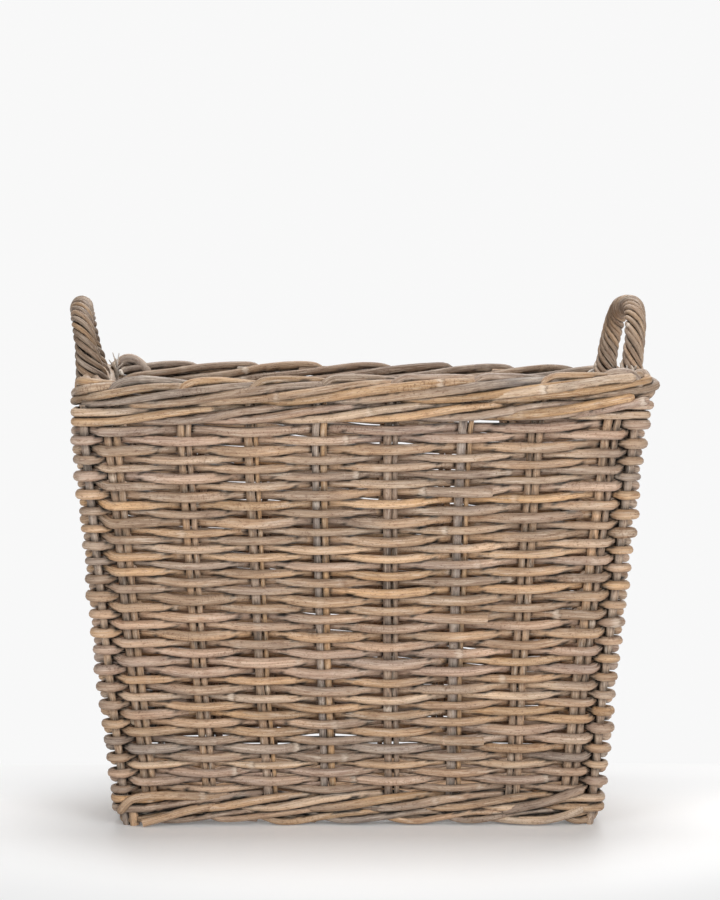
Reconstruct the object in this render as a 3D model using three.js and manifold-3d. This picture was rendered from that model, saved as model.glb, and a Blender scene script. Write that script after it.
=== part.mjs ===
// Rectangular flared basket of greyed rattan canes, plain woven over upright stakes, with a wale and a laid
// border at the rim and at the foot, a woven base and two stiff twisted handles.
// Millimetres, +Z up. The origin is the middle of the flat underside, +X runs along the long side and the
// front wall faces -Y. Heights are taken on the stake line, the leaning rectangle that the stakes stand on.

import * as THREE from "three";
import { mergeVertices } from "three/addons/utils/BufferGeometryUtils.js";
import Module from "manifold-3d";

const wasm = await Module();
wasm.setup();

// Stake line at the floor, and how far each wall leans out for each millimetre of height
const stakeLineWidth = 480;
const stakeLineDepth = 318;
const wallLean = 0.104;

// Stakes: pairs of canes along each wall and one post at each corner
const longWallPairs = 8;
const shortWallPairs = 6;
const postToPair = 27;
const stakeDiameter = 7.2;
const pairPress = 0.4; // how far the two canes of a pair are pressed into each other
const postDiameter = 9;

// Woven wall
const weaverDiameter = 9;
const weaverRows = 42;
const canesEachWay = 6; // canes that start outside the first stake, and as many that start inside
const rowGap = 0.28;
const weaveGap = 0.3; // clearance where canes cross
const buttGap = 0.3; // clearance where one cane ends and the next goes on
const climbPair = 6; // pair of the back wall where each cane has climbed to its next row
const climbSpans = 4; // runs from pair to pair that the climb takes
const postGap = 0.8; // clearance where a cane turns round a corner post

// Wales: four canes that turn round the stakes, two outside and two inside at a time
const waleCanes = 4;
const waleDiameter = 8.2;
const waleRise = 9.8; // height between the lower and the upper canes

// Borders: laid rings of canes
const rimBorderDiameter = 28;
const rimBorderCanes = 6;
const rimBorderLay = 400; // length of one full turn of the lay
const footBorderDiameter = 18.2;
const footBorderCanes = 5;
const footBorderLay = 260;
const footFlat = 1.8; // how deep the foot is worn flat
const borderCornerRadius = 22;
const borderStep = 40;
const borderCornerSteps = 2;
const layGroove = 0.82; // radius in the groove between two laid canes, as a part of the outer radius
const seatGap = 0.3; // clearance between pieces that rest on each other

// Handles: twisted arches on the short ends
const handleDiameter = 22;
const handleCanes = 7;
const handleLay = 120;
const handleSpread = 152; // between the middles of the two legs
const handleRise = 85; // middle of the arch above the middle of the rim border
const handleTurn = 2.7; // degrees about the vertical, the same way for both
const handleLean = 8.5; // degrees that each arch leans outwards
const handleSteps = 40;
const handleFootDiameter = 46; // where the canes fan out over the border
const handleFootHeight = 32; // length of the leg over which they fan out
const handleFootShoulder = 0.3; // full width of the foot up to this part of the border's diameter above its middle
const handleSaddle = 5; // how far the foot reaches below the middle of the border

// Base: a frame of thick canes with cross sticks, and one cane woven to and fro along the basket
const baseStickDiameter = 9;
const baseCrossSticks = 3;
const baseWeaverDiameter = 9;
const baseRowGap = 0.6;

// Numbers of sides of the round sections
const roundSides = 8;
const waleSides = 6;
const saddleSides = 16;

const weaverRadius = weaverDiameter / 2;
const stakeRadius = stakeDiameter / 2;
const postRadius = postDiameter / 2;
const waleRadius = waleDiameter / 2;
const lobeOffset = stakeRadius - pairPress / 2;

// Heights of the layers, one seated on the other from the floor up
const rowPitch = weaverDiameter + rowGap;
const waleHeight = waleRise + waleDiameter;
const footBorderZ = footBorderDiameter / 2 - footFlat;
const footWaleZ = footBorderZ + footBorderDiameter / 2 + seatGap + waleHeight / 2;
const firstRowZ = footWaleZ + waleHeight / 2 + seatGap + weaverRadius;
const lastRowZ = firstRowZ + (weaverRows - 1) * rowPitch;
const rimWaleZ = lastRowZ + weaverRadius + seatGap + waleHeight / 2;
const rimBorderZ = rimWaleZ + waleHeight / 2 + seatGap + rimBorderDiameter / 2;

const basket = new THREE.Group();

function addPiece(name, geometry, color, parent = basket) {
  const material = new THREE.MeshStandardMaterial({ color, roughness: 0.75, metalness: 0 });
  const mesh = new THREE.Mesh(geometry, material);
  mesh.name = name;
  parent.add(mesh);
}

const caneColours = ["#c1a586", "#a8988a", "#b49d8b", "#bd9c72", "#9a8470", "#c9b094"];

function caneColour(index) {
  return caneColours[index % caneColours.length];
}

// Walls, counterclockwise from the front. run is the direction along a wall, out points away from the basket
// and corner is the one where the wall starts.
const walls = [
  { name: "front", corner: "front_left", run: [1, 0], out: [0, -1], long: true },
  { name: "right", corner: "front_right", run: [0, 1], out: [1, 0], long: false },
  { name: "back", corner: "back_right", run: [-1, 0], out: [0, 1], long: true },
  { name: "left", corner: "back_left", run: [0, -1], out: [-1, 0], long: false },
];
const [frontWall, rightWall] = walls;

function nextWall(wall) {
  return walls[(walls.indexOf(wall) + 1) % walls.length];
}

function lastWall(wall) {
  return walls[(walls.indexOf(wall) + walls.length - 1) % walls.length];
}

// Half the length of the stake line along a wall, and its distance from the middle, at a height
function halfRun(wall, z) {
  return (wall.long ? stakeLineWidth : stakeLineDepth) / 2 + wallLean * z;
}

function halfReach(wall, z) {
  return (wall.long ? stakeLineDepth : stakeLineWidth) / 2 + wallLean * z;
}

// A point out from the stake line of a wall, square to the leaning wall, with the way up along that wall
function wallPoint(wall, along, out, z) {
  const reach = halfReach(wall, z) + out;
  const at = new THREE.Vector3(
    wall.run[0] * along + wall.out[0] * reach,
    wall.run[1] * along + wall.out[1] * reach,
    z - wallLean * out,
  );
  const up = new THREE.Vector3(wall.out[0] * wallLean, wall.out[1] * wallLean, 1).normalize();
  return { at, up };
}

// The stations that a cane passes on its way round: a post and then the pairs of each wall
function makeStations() {
  const list = [];
  for (const wall of walls) {
    list.push({ kind: "post", wall, name: `corner_post_${wall.corner}` });
    const pairs = wall.long ? longWallPairs : shortWallPairs;
    for (let i = 0; i < pairs; i++) {
      list.push({ kind: "pair", wall, index: i, pairs, name: `stake_pair_${wall.name}_${i + 1}` });
    }
  }
  return list;
}

const stations = makeStations();

function pairSpan(station, z) {
  return 2 * (halfRun(station.wall, z) - postToPair) / (station.pairs - 1);
}

function pairAlong(station, z) {
  return postToPair - halfRun(station.wall, z) + station.index * pairSpan(station, z);
}

// How far from the stake line a cane passes a pair, so that its straight runs clear both canes of the pair.
// bendShift is how far along the wall the cane's bend lies from the middle of the pair.
const passRounds = 8; // rounds in which the offset and the slope that depends on it settle

function passOffset(radius, span, bendShift) {
  const direct = radius + stakeRadius + weaveGap;
  let offset = direct;
  for (let i = 0; i < passRounds; i++) {
    const slope = 2 * offset / span;
    offset = direct * Math.hypot(1, slope) + (lobeOffset + bendShift) * slope;
  }
  return offset;
}

// Beside a post a cane turns steeply, so its bend lies past the pair on the side of the post
const steepBend = THREE.MathUtils.degToRad(50);
const postSideShift = lobeOffset + stakeRadius * Math.tan(steepBend / 2);

// Round the outside of a post a cane turns in three bends, and inside it in one
const loopTurn = THREE.MathUtils.degToRad(63);

// The points of a cane that passes a station outside (side 1) or inside (side -1) of it
function passPoints(station, side, z, radius) {
  const wall = station.wall;
  if (station.kind === "pair") {
    const first = station.index === 0;
    const last = station.index === station.pairs - 1;
    const shift = last ? postSideShift : first ? -postSideShift : 0;
    const offset = passOffset(radius, pairSpan(station, z), Math.abs(shift));
    return [wallPoint(wall, pairAlong(station, z) + shift, side * offset, z)];
  }
  const before = lastWall(wall);
  const clear = radius + postRadius + postGap;
  const corner = wallPoint(wall, -halfRun(wall, z), 0, z);
  const diagonalUp = new THREE.Vector3(
    (wall.out[0] + before.out[0]) * wallLean,
    (wall.out[1] + before.out[1]) * wallLean,
    1,
  ).normalize();
  const diagonal = (reach) => ({
    at: new THREE.Vector3(
      corner.at.x + (wall.out[0] + before.out[0]) * reach,
      corner.at.y + (wall.out[1] + before.out[1]) * reach,
      z - wallLean * reach,
    ),
    up: diagonalUp,
  });
  if (side < 0) {
    return [diagonal(-clear / Math.SQRT2)];
  }
  const loop = clear / Math.cos(loopTurn / 2);
  const sideOut = loop * Math.sin(Math.PI / 4 + loopTurn);
  const sideBack = -loop * Math.cos(Math.PI / 4 + loopTurn);
  return [
    wallPoint(before, halfRun(before, z) - sideBack, sideOut, z),
    diagonal(loop / Math.SQRT2),
    wallPoint(wall, -halfRun(wall, z) + sideBack, sideOut, z),
  ];
}

// A regular polygon as [across, up] points, one corner pointing across unless it is turned
function polygon(radius, sides, turn = 0) {
  const points = [];
  for (let i = 0; i < sides; i++) {
    const angle = turn + (i * 2 * Math.PI) / sides;
    points.push([radius * Math.cos(angle), radius * Math.sin(angle)]);
  }
  return points;
}

// A square section with its flats outside and on top, as wide as the cane is thick
function squareSection(radius) {
  return polygon(radius * Math.SQRT2, 4, Math.PI / 4);
}

// Two canes side by side, joined along the line where they touch. Each is a hexagon without its corner at the
// joint.
const hexagonAngles = [-120, -60, 0, 60, 120];

function pairSection() {
  const points = [];
  for (const middle of [lobeOffset, -lobeOffset]) {
    for (const angle of hexagonAngles) {
      const turned = THREE.MathUtils.degToRad(angle + (middle < 0 ? 180 : 0));
      points.push([middle + stakeRadius * Math.cos(turned), stakeRadius * Math.sin(turned)]);
    }
  }
  return points;
}

// A ring of laid canes cut across, turned as far as the lay has come
function laySection(radius, canes, turn, groove = layGroove) {
  const points = [];
  for (let i = 0; i < 2 * canes; i++) {
    const angle = turn + (i * Math.PI) / canes;
    const reach = i % 2 === 0 ? radius : radius * groove;
    points.push([reach * Math.cos(angle), reach * Math.sin(angle)]);
  }
  return points;
}

const straightBend = 1e-9; // shorter changes of direction count as none

// A solid swept through path points, mitred at each bend. sectionAt(i) gives the section at point i, as
// [across, up] points. A closed sweep joins its end to its start, and an open one has flat ends.
function sweep(path, sectionAt, closed = false) {
  const count = path.length;
  const sides = sectionAt(0).length;
  const positions = [];
  path.forEach(({ at, up }, i) => {
    const next = path[(i + 1) % count].at;
    const last = path[(i + count - 1) % count].at;
    const start = !closed && i === 0;
    const end = !closed && i === count - 1;
    const along = new THREE.Vector3().subVectors(end ? at : next, end ? last : at).normalize();
    const came = start ? along.clone() : new THREE.Vector3().subVectors(at, last).normalize();
    const tangent = new THREE.Vector3().addVectors(came, along).normalize();
    const across = new THREE.Vector3().crossVectors(tangent, up).normalize();
    const rise = new THREE.Vector3().crossVectors(across, tangent);
    const bend = new THREE.Vector3().subVectors(along, came);
    const stretch = bend.length() > straightBend ? 1 / tangent.dot(along) - 1 : 0;
    bend.normalize();
    for (const [a, b] of sectionAt(i)) {
      const out = new THREE.Vector3().addScaledVector(across, a).addScaledVector(rise, b);
      out.addScaledVector(bend, out.dot(bend) * stretch);
      positions.push(at.x + out.x, at.y + out.y, at.z + out.z);
    }
  });
  const index = [];
  const spans = closed ? count : count - 1;
  for (let i = 0; i < spans; i++) {
    for (let j = 0; j < sides; j++) {
      const a = i * sides + j;
      const b = i * sides + ((j + 1) % sides);
      const c = ((i + 1) % count) * sides + j;
      const d = ((i + 1) % count) * sides + ((j + 1) % sides);
      index.push(a, c, d, a, d, b);
    }
  }
  if (!closed) {
    const cap = THREE.ShapeUtils.triangulateShape(sectionAt(0).map(([a, b]) => new THREE.Vector2(a, b)), []);
    const offset = (count - 1) * sides;
    for (const [a, b, c] of cap) {
      index.push(a, b, c);
      index.push(offset + a, offset + c, offset + b);
    }
  }
  const geometry = new THREE.BufferGeometry();
  geometry.setAttribute("position", new THREE.Float32BufferAttribute(positions, 3));
  geometry.setIndex(index);
  return geometry;
}

// Solids for the cuts and joins
const weldDistance = 1e-4;

function toSolid(geometry) {
  const bare = geometry.clone();
  bare.deleteAttribute("normal");
  bare.deleteAttribute("uv");
  const merged = mergeVertices(bare, weldDistance);
  return new wasm.Manifold(new wasm.Mesh({
    numProp: 3,
    vertProperties: new Float32Array(merged.attributes.position.array),
    triVerts: new Uint32Array(merged.index.array),
  }));
}

function toGeometry(solid) {
  const mesh = solid.getMesh();
  const geometry = new THREE.BufferGeometry();
  geometry.setAttribute("position", new THREE.Float32BufferAttribute(mesh.vertProperties, 3));
  geometry.setIndex(Array.from(mesh.triVerts));
  return geometry;
}

// A straight piece along the stake line of a wall, from one height to another
function uprightPath(wall, alongAt, bottom, top) {
  return [bottom, top].map((z) => ({
    at: wallPoint(wall, alongAt(z), 0, z).at,
    up: new THREE.Vector3(wall.out[0], wall.out[1], 0),
  }));
}

// Stakes and corner posts, from the foot border to the rim border
const stakeBottomZ = footBorderZ + footBorderDiameter / 2 + seatGap + postRadius * wallLean;
const stakeTopZ = rimBorderZ - rimBorderDiameter / 2 - seatGap - postRadius * wallLean;

function addStakes() {
  stations.forEach((station, i) => {
    const isPost = station.kind === "post";
    const alongAt = (z) => (isPost ? -halfRun(station.wall, z) : pairAlong(station, z));
    const section = isPost ? polygon(postRadius, roundSides) : pairSection();
    const path = uprightPath(station.wall, alongAt, stakeBottomZ, stakeTopZ);
    addPiece(station.name, sweep(path, () => section), caneColour(i + 2));
  });
}

// The point half way along the run between two path points, drawn back by half the butt gap
function buttPoint(from, to, drawBack) {
  const at = from.at.clone().lerp(to.at, 0.5);
  const way = new THREE.Vector3().subVectors(to.at, from.at).normalize();
  at.addScaledVector(way, drawBack * buttGap / 2);
  return { at, up: from.up.clone().lerp(to.up, 0.5).normalize() };
}

// Weaver canes. Each station that a cane passes is counted from the climb, n = 0, and on through its turns.
const climbStation = stations.findIndex(
  (station) => station.wall.name === "back" && station.index === climbPair - 1,
);
const turnsEachWay = weaverRows / 2;
const stationsEachWay = turnsEachWay * stations.length;
const lastWeaverStation = stationsEachWay - climbSpans + 1;

function weaverPoints(way, n) {
  const turn = Math.floor(n / stations.length);
  const climbed = Math.max(0, (n % stations.length) - stations.length + climbSpans) / climbSpans;
  const row = 2 * (turn + climbed) + way;
  const place = climbStation + n;
  const side = (place + way) % 2 === 0 ? 1 : -1;
  return passPoints(stations[place % stations.length], side, firstRowZ + row * rowPitch, weaverRadius);
}

function weaverPath(way, from, to) {
  const path = [];
  for (let n = from; n < to; n++) {
    path.push(...weaverPoints(way, n));
  }
  if (from > 0) {
    path.unshift(buttPoint(weaverPoints(way, from - 1).at(-1), path[0], 1));
  }
  if (to < lastWeaverStation) {
    path.push(buttPoint(path.at(-1), weaverPoints(way, to)[0], -1));
  }
  return path;
}

function addWeavers() {
  const section = squareSection(weaverRadius);
  const caneStart = (cane) => Math.round((cane * stationsEachWay) / canesEachWay);
  for (let cane = 0; cane < canesEachWay; cane++) {
    for (const way of [0, 1]) {
      const lastCane = cane === canesEachWay - 1;
      const to = lastCane ? lastWeaverStation : caneStart(cane + 1);
      const number = 2 * cane + way + 1;
      const name = `weaver_cane_${String(number).padStart(2, "0")}`;
      const path = weaverPath(way, caneStart(cane), to);
      addPiece(name, sweep(path, () => section), caneColour(number));
    }
  }
}

// A wale. From one pair to the next, the lower outer cane rises, the upper one goes inside, the upper inner
// cane sinks and the lower one comes out. Round a corner post all of them keep their places.
function waleShifts(place) {
  const laps = Math.floor(place / stations.length);
  const shiftsAt = (count) => stations.slice(0, count).filter((station) => station.index > 0).length;
  return laps * shiftsAt(stations.length) + shiftsAt((place % stations.length) + 1);
}

function walePoints(cane, place, middleZ) {
  const station = stations[place % stations.length];
  const step = (waleShifts(place) + cane) % waleCanes;
  const outside = step < 2;
  if (station.kind === "post" && !outside) {
    return [];
  }
  const rise = step === 1 || step === 2 ? waleRise / 2 : -waleRise / 2;
  return passPoints(station, outside ? 1 : -1, middleZ + rise, waleRadius);
}

function addWale(name, middleZ) {
  const section = polygon(waleRadius, waleSides);
  for (let cane = 0; cane < waleCanes; cane++) {
    const path = [];
    for (let n = 0; n < stations.length; n++) {
      path.push(...walePoints(cane, climbStation + n, middleZ));
    }
    const before = walePoints(cane, climbStation - 1, middleZ).at(-1);
    const after = walePoints(cane, climbStation + stations.length, middleZ)[0];
    path.unshift(buttPoint(before, path[0], 1));
    path.push(buttPoint(path.at(-1), after, -1));
    addPiece(`${name}_cane_${cane + 1}`, sweep(path, () => section), caneColour(cane + 3));
  }
}

// The middle line of a border: the stake line at one height, with rounded corners
function borderPath(z) {
  const path = [];
  for (const wall of walls) {
    const half = halfRun(wall, z) - borderCornerRadius;
    const steps = Math.ceil((2 * half) / borderStep);
    for (let i = 0; i <= steps; i++) {
      path.push(wallPoint(wall, -half + (2 * half * i) / steps, 0, z));
    }
    const next = nextWall(wall);
    for (let i = 1; i < borderCornerSteps; i++) {
      const angle = (i / borderCornerSteps) * (Math.PI / 2);
      const sink = borderCornerRadius * (1 - Math.cos(angle));
      const along = half + borderCornerRadius * Math.sin(angle);
      const at = wallPoint(wall, along, 0, z).at;
      at.x -= wall.out[0] * sink;
      at.y -= wall.out[1] * sink;
      const up = new THREE.Vector3(wall.out[0] + next.out[0], wall.out[1] + next.out[1], 0);
      up.multiplyScalar(wallLean).setZ(1).normalize();
      path.push({ at, up });
    }
  }
  return path;
}

// A closed ring of laid canes. Its end meets its start a whole number of canes further round.
function borderGeometry(z, diameter, canes, lay) {
  const path = borderPath(z);
  const distance = [0];
  for (let i = 1; i <= path.length; i++) {
    distance.push(distance[i - 1] + path[i % path.length].at.distanceTo(path[i - 1].at));
  }
  const length = distance[path.length];
  const canesPassed = Math.round((length / lay) * canes);
  const turnAt = (i) => (distance[i] / length) * (canesPassed / canes) * 2 * Math.PI;
  const geometry = sweep(path, (i) => laySection(diameter / 2, canes, turnAt(i)), true);
  const sides = 2 * canes;
  const index = geometry.index.array;
  const lastRing = (path.length - 1) * sides;
  const shift = (2 * canesPassed) % sides;
  for (let i = lastRing * 6; i < index.length; i++) {
    if (index[i] < lastRing) {
      index[i] = (index[i] + shift) % sides;
    }
  }
  return geometry;
}

function addBorders() {
  const rim = borderGeometry(rimBorderZ, rimBorderDiameter, rimBorderCanes, rimBorderLay);
  addPiece("rim_border", rim, caneColour(0));
  const foot = toSolid(borderGeometry(footBorderZ, footBorderDiameter, footBorderCanes, footBorderLay));
  const floor = new THREE.BoxGeometry(2 * stakeLineWidth, 2 * stakeLineDepth, footBorderDiameter);
  floor.translate(0, 0, -footBorderDiameter / 2);
  addPiece("foot_border", toGeometry(foot.subtract(toSolid(floor))), caneColour(3));
}

// A handle, in its own frame: the legs stand on the border at y = plus and minus half the spread, z = 0
function handleGeometry() {
  const half = handleSpread / 2;
  const path = [];
  for (let i = 0; i <= handleSteps; i++) {
    const angle = (i / handleSteps) * Math.PI;
    const at = new THREE.Vector3(0, -half * Math.cos(angle), handleRise * Math.sin(angle));
    path.push({ at, up: new THREE.Vector3(1, 0, 0) });
  }
  path.unshift({ at: new THREE.Vector3(0, -half, -handleSaddle), up: new THREE.Vector3(1, 0, 0) });
  path.push({ at: new THREE.Vector3(0, half, -handleSaddle), up: new THREE.Vector3(1, 0, 0) });
  let distance = 0;
  const turns = path.map(({ at }, i) => {
    distance += i > 0 ? at.distanceTo(path[i - 1].at) : 0;
    return (distance / handleLay) * 2 * Math.PI;
  });
  const shoulder = handleFootShoulder * rimBorderDiameter;
  const sectionAt = (i) => {
    const height = path[i].at.z - shoulder;
    const fan = THREE.MathUtils.clamp(1 - height / (handleFootHeight - shoulder), 0, 1) ** 2;
    const radius = THREE.MathUtils.lerp(handleDiameter, handleFootDiameter, fan) / 2;
    return laySection(radius, handleCanes, turns[i], THREE.MathUtils.lerp(layGroove, 1, fan));
  };
  return sweep(path, sectionAt);
}

function addHandles() {
  const saddleRadius = (rimBorderDiameter / 2 + seatGap) / Math.cos(Math.PI / saddleSides);
  const saddle = sweep(borderPath(rimBorderZ), () => polygon(saddleRadius, saddleSides), true);
  for (const wall of walls.filter((each) => !each.long)) {
    const holder = new THREE.Group();
    holder.position.set(wall.out[0] * halfReach(wall, rimBorderZ), 0, rimBorderZ);
    const lean = wall.out[0] * THREE.MathUtils.degToRad(handleLean);
    holder.rotation.set(0, lean, THREE.MathUtils.degToRad(handleTurn), "ZYX");
    holder.updateMatrix();
    const placed = saddle.clone().applyMatrix4(holder.matrix.clone().invert());
    const handle = toSolid(handleGeometry()).subtract(toSolid(placed));
    basket.add(holder);
    addPiece(`handle_${wall.name}`, toGeometry(handle), caneColour(5), holder);
  }
}

// Base. Its frame lies inside the foot wale, with room at the ends for the woven cane to turn round it.
const baseStickRadius = baseStickDiameter / 2;
const baseWeaverRadius = baseWeaverDiameter / 2;
const baseZ = footWaleZ;

function waleReach(wall) {
  const station = stations.find((each) => each.wall === wall && each.kind === "pair");
  return passOffset(waleRadius, pairSpan(station, footWaleZ - waleRise / 2), postSideShift) + waleRadius;
}

const basePass = baseStickRadius + baseWeaverRadius + weaveGap;
const baseHalfDepth = halfReach(frontWall, baseZ) - waleReach(frontWall) - seatGap - baseStickRadius
  - wallLean * baseStickRadius;
const baseHalfWidth = halfReach(rightWall, baseZ) - waleReach(rightWall) - seatGap - baseWeaverRadius
  - basePass - wallLean * basePass;

function basePoint(x, y, z, up = new THREE.Vector3(0, 0, 1)) {
  return { at: new THREE.Vector3(x, y, baseZ + z), up };
}

function addBaseFrame() {
  const section = polygon(baseStickRadius, roundSides, Math.PI / roundSides);
  const corners = [[-1, -1], [1, -1], [1, 1], [-1, 1]];
  const ring = corners.map(([x, y]) => basePoint(x * baseHalfWidth, y * baseHalfDepth, 0));
  let frame = toSolid(sweep(ring, () => section, true));
  for (let i = 1; i <= baseCrossSticks; i++) {
    const x = baseHalfWidth * (-1 + (2 * i) / (baseCrossSticks + 1));
    const stick = [basePoint(x, -baseHalfDepth, 0), basePoint(x, baseHalfDepth, 0)];
    frame = frame.add(toSolid(sweep(stick, () => section)));
  }
  addPiece("base_frame", toGeometry(frame), caneColour(4));
}

// One cane, over and under the sticks, that turns round the end sticks of the frame from row to row
const baseEndTurn = Math.PI / 4; // at each bend round an end stick

function addBaseWeave() {
  const inside = baseHalfDepth - baseStickRadius - baseRowGap - baseWeaverRadius;
  const rows = 1 + Math.floor((2 * inside) / (baseWeaverDiameter + baseRowGap));
  const pitch = (2 * inside) / (rows - 1);
  const sticks = baseCrossSticks + 2;
  const span = (2 * baseHalfWidth) / (sticks - 1);
  const slope = (2 * basePass) / span;
  const lift = basePass * Math.hypot(1, slope);
  const endBend = basePass * Math.tan(baseEndTurn / 2);
  const endLift = lift + endBend * slope;
  const level = new THREE.Vector3(0, 1, 0);
  const path = [];
  for (let row = 0; row < rows; row++) {
    const way = row % 2 === 0 ? 1 : -1;
    const first = row % 2 === 1 && sticks % 2 === 1 ? -1 : 1;
    const y = -inside + row * pitch;
    for (let i = 0; i < sticks; i++) {
      const over = i % 2 === 0 ? first : -first;
      const end = i === 0 ? -1 : i === sticks - 1 ? 1 : 0;
      const x = way * (i * span - baseHalfWidth + end * endBend);
      path.push(basePoint(x, y, over * (end === 0 ? lift : endLift), level));
    }
    if (row < rows - 1) {
      const over = Math.sign(path.at(-1).at.z - baseZ);
      const x = way * (baseHalfWidth + basePass);
      path.push(basePoint(x, y + pitch / 3, over * endBend, level));
      path.push(basePoint(x, y + (2 * pitch) / 3, -over * endBend, level));
    }
  }
  addPiece("base_weave", sweep(path, () => squareSection(baseWeaverRadius)), caneColour(1));
}

addStakes();
addWeavers();
addWale("foot_wale", footWaleZ);
addWale("rim_wale", rimWaleZ);
addBorders();
addHandles();
addBaseFrame();
addBaseWeave();

export default basket;
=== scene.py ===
import math
from math import pi, radians, sqrt

import bpy
import numpy as np
from mathutils import Matrix, Vector
from numpy.linalg import norm


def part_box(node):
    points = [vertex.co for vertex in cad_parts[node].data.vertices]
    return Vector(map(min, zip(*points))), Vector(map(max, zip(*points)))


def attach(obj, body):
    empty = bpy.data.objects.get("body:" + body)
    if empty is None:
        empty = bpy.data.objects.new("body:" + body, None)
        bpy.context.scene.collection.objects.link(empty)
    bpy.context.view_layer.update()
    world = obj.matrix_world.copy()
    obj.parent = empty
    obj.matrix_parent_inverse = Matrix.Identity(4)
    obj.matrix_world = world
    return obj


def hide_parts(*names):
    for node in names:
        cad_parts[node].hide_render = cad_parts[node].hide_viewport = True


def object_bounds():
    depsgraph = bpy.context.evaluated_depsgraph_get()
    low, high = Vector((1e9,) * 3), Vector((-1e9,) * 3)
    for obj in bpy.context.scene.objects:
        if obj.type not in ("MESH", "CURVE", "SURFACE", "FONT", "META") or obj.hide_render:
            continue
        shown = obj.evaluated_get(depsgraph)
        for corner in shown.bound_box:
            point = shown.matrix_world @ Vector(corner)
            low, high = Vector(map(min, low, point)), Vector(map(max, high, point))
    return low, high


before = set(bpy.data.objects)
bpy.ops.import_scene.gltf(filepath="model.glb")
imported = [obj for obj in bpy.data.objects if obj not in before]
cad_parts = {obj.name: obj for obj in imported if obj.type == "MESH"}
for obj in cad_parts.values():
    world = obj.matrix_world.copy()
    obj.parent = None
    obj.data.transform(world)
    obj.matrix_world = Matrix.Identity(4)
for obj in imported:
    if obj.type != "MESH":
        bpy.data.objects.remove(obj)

# Basket of greyed rattan: every cane of the CAD model gets its own thickness, bends, joints and colour.
# Metres, in the frame of the CAD model. Walls run counterclockwise from the front, and "out" is away from
# the basket, square to the leaning wall.
cad_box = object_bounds()
scene = bpy.context.scene
rng = np.random.default_rng(23)

# Stakes, as in the CAD model
LINE_WIDTH = 0.48
LINE_DEPTH = 0.318
WALL_LEAN = 0.104
LONG_WALL_PAIRS = 8
SHORT_WALL_PAIRS = 6
POST_TO_PAIR = 0.027
STAKE_RADIUS = 0.0036
POST_RADIUS = 0.0045
# How far the pairs stray from even places: at random on the unseen walls, and by these shifts at the front
PAIR_STRAY = 0.0012
FRONT_SHIFT_TOP = (0.002, 0.003, -0.003, -0.006, -0.0055, -0.0025, -0.002, 0.003)
FRONT_SHIFT_FOOT = (0, 0, 0, -0.003, 0.0015, 0.0035, 0.005, 0.0015)
# A weaver runs straight for this far to each side of a pair, and stays this much off the outside of a post
PAIR_HOLD = 0.0085
CORNER_SLACK = 0.001
LOOP_TURN = radians(60)  # from the diagonal to each end of a loop round a post

# Rows of the weave, as in the CAD model
ROWS = 42
CLIMB_PAIR = 6
CLIMB_SPANS = 4
CANES_EACH_WAY = 6


def middle_height(node):
    low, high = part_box(node)
    return (low[2] + high[2]) / 2


def smooth(x):
    """Eases numbers from 0 to 1."""
    return x * x * (3 - 2 * x)


def unit(vectors):
    return vectors / norm(vectors, axis=-1, keepdims=True)


def lengths_along(points):
    """How far along the line each of its points lies."""
    steps = norm(np.diff(points, axis=0), axis=1)
    return np.concatenate([[0], np.cumsum(steps)])


def find_along(places, lengths, values):
    """The values, given at lengths along a line, at other places along it."""
    return np.stack([np.interp(places, lengths, column) for column in values.T], -1)


FOOT_WALE_Z = middle_height("foot_wale_cane_1")
RIM_WALE_Z = middle_height("rim_wale_cane_1")
RIM_Z = middle_height("rim_border")
FOOT_Z = middle_height("foot_border")
FOOT_TOP_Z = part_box("foot_border")[1][2]
WEAVE_LOW_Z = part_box("foot_wale_cane_1")[1][2]
WEAVE_HIGH_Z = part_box("rim_wale_cane_1")[0][2]


# Walls and stations

class Wall:
    def __init__(self, name, run, out, length, reach, pairs):
        self.name, self.length, self.reach, self.pairs = name, length, reach, pairs
        self.run, self.out = np.array(run, float), np.array(out, float)
        self.shifts = rng.normal(0, PAIR_STRAY, (2, pairs))

    def half(self, z):
        return self.length / 2 + WALL_LEAN * z

    def point(self, along, out, z):
        """A point along the wall, out from its stake line, at a height on that line."""
        flat = self.run * along + self.out * (self.reach / 2 + WALL_LEAN * z + out)
        return np.array([flat[0], flat[1], z - WALL_LEAN * out])

    def post(self, z):
        """The post at the start of the wall, at a height."""
        return self.point(-self.half(z), 0, z)

    def pair_along(self, index, z):
        span = 2 * (self.half(z) - POST_TO_PAIR) / (self.pairs - 1)
        return POST_TO_PAIR - self.half(z) + index * span + self.shift(index, z)

    def shift(self, index, z):
        part = min(max((z - FOOT_WALE_Z) / (RIM_WALE_Z - FOOT_WALE_Z), 0), 1)
        return self.shifts[0][index] * (1 - part) + self.shifts[1][index] * part


LONG = LINE_WIDTH, LINE_DEPTH, LONG_WALL_PAIRS
SHORT = LINE_DEPTH, LINE_WIDTH, SHORT_WALL_PAIRS
WALLS = [Wall("front", (1, 0), (0, -1), *LONG), Wall("right", (0, 1), (1, 0), *SHORT),
         Wall("back", (-1, 0), (0, 1), *LONG), Wall("left", (0, -1), (-1, 0), *SHORT)]
WALLS[0].shifts = np.array([FRONT_SHIFT_FOOT, FRONT_SHIFT_TOP])
CORNERS = ["front_left", "front_right", "back_right", "back_left"]

# A station is a wall with the index of a pair, or None for the post at the start of the wall
STATIONS = [(wall, index) for wall in WALLS for index in [None, *range(wall.pairs)]]
TURN = len(STATIONS)
CLIMB = STATIONS.index((WALLS[2], CLIMB_PAIR - 1))
WAY_STATIONS = ROWS // 2 * TURN
LAST_STATION = WAY_STATIONS - CLIMB_SPANS + 1
CANE_STARTS = [round(c * WAY_STATIONS / CANES_EACH_WAY) for c in range(CANES_EACH_WAY)]


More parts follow.
